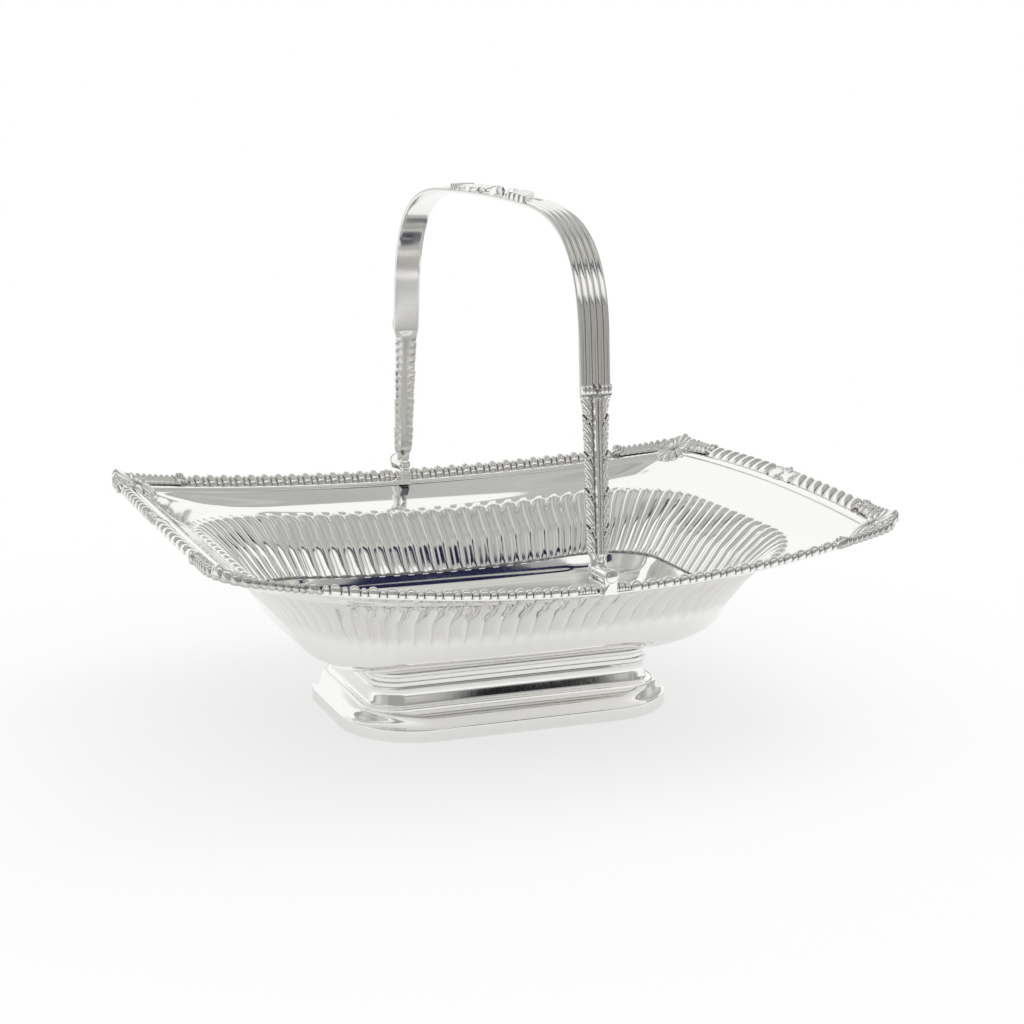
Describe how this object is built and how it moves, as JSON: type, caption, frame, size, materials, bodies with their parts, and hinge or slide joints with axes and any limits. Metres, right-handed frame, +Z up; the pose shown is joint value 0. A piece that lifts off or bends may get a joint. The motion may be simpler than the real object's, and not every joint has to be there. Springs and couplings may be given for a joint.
{
  "type": "silver basket",
  "caption": "Rounded-rectangular swing-handle basket with a fluted bowl, gadroon and shell border, reeded bail with acanthus legs, and a raised foot.",
  "frame": {"origin": "middle of the foot's underside", "axes": "+X along the basket towards one end, +Y across it towards one hinge, +Z up"},
  "size_m": [0.3544, 0.307, 0.2647],
  "materials": {
    "polished_silver": "polished sterling silver with fine wipe marks",
    "cast_silver": "cast and chased silver, bright on the high points and grey in the recesses"
  },
  "bodies": {
    "basket": {"bowl": "polished_silver", "corner_shell_far_left": "cast_silver", "corner_shell_far_right": "cast_silver", "corner_shell_near_left": "cast_silver", "corner_shell_near_right": "cast_silver", "end_shell_left": "cast_silver", "end_shell_right": "cast_silver", "foot_band": "polished_silver", "foot_collar": "polished_silver", "foot_cove": "polished_silver", "gadroon_far_left": "cast_silver", "gadroon_far_right": "cast_silver", "gadroon_left_far": "cast_silver", "gadroon_left_near": "cast_silver", "gadroon_near_left": "cast_silver", "gadroon_near_right": "cast_silver", "gadroon_right_far": "cast_silver", "gadroon_right_near": "cast_silver", "hinge_bracket_far": "polished_silver", "hinge_bracket_near": "polished_silver", "hinge_leaf_far_left": "cast_silver", "hinge_leaf_far_right": "cast_silver", "hinge_leaf_near_left": "cast_silver", "hinge_leaf_near_right": "cast_silver", "hinge_pin_far": "polished_silver", "hinge_pin_near": "polished_silver", "raised_band": "polished_silver"},
    "handle": {"crown_band_far": "cast_silver", "crown_band_near": "cast_silver", "crown_tip_far": "cast_silver", "crown_tip_near": "cast_silver", "crown_wrap_far": "cast_silver", "crown_wrap_near": "cast_silver", "handle_bail": "polished_silver", "handle_leaf_far": "cast_silver", "handle_leaf_near": "cast_silver"}
  },
  "joints": [
    {"name": "handle_swing", "type": "hinge", "parent": "basket", "child": "handle", "pos_m": [0, 0, 0.1], "axis": [0, 1, 0], "range_deg": [-84, 84]}
  ]
}
